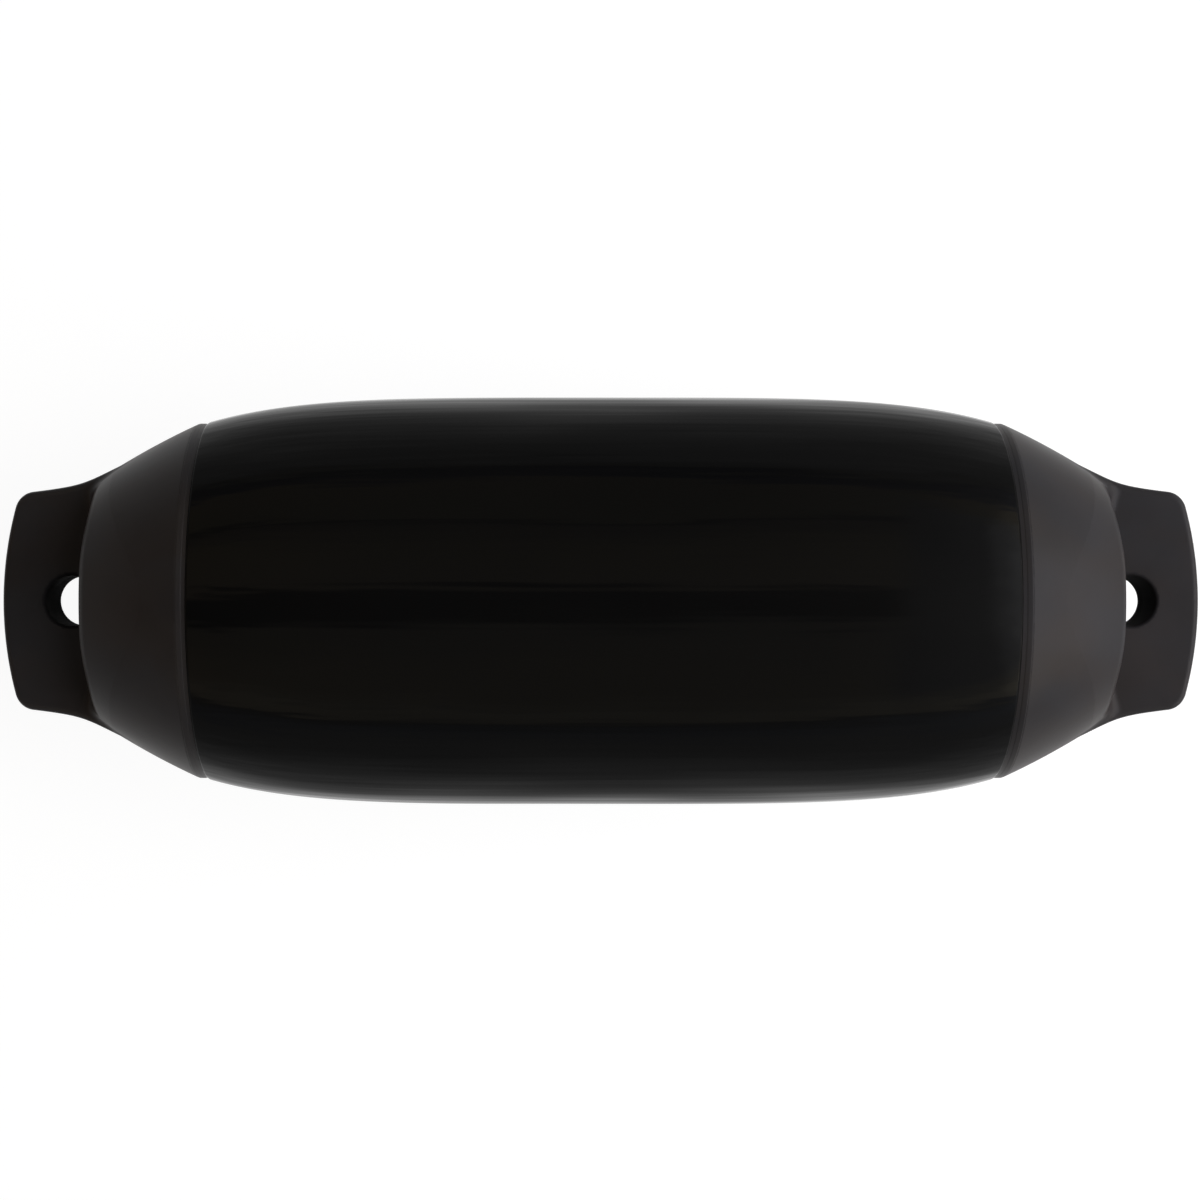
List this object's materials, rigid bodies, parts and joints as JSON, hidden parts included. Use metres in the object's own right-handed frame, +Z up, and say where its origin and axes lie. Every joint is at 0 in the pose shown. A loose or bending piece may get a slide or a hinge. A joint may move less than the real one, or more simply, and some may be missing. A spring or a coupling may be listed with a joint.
{
  "type": "pneumatic fender",
  "caption": "Inflatable twin-eye boat fender: a hollow vinyl barrel with conical shoulders, a flat lug with a rope eye at each end, and an inflation valve.",
  "frame": {"origin": "centre of the bounding box's underside, in the middle of the small flat that the fender rests on", "axes": "+X along the fender's axis towards the valve end, +Y along the width of the lugs, +Z up, square to the lugs' flat faces"},
  "size_m": [0.64, 0.22, 0.2195],
  "materials": {
    "vinyl": "gloss",
    "bushing_plastic": "satin",
    "washer_rubber": "matte",
    "screw_plastic": "satin"
  },
  "bodies": {
    "root": {"fender_shell": "vinyl", "valve_bushing": "bushing_plastic", "sealing_washer": "washer_rubber", "valve_screw": "screw_plastic"}
  },
  "joints": []
}
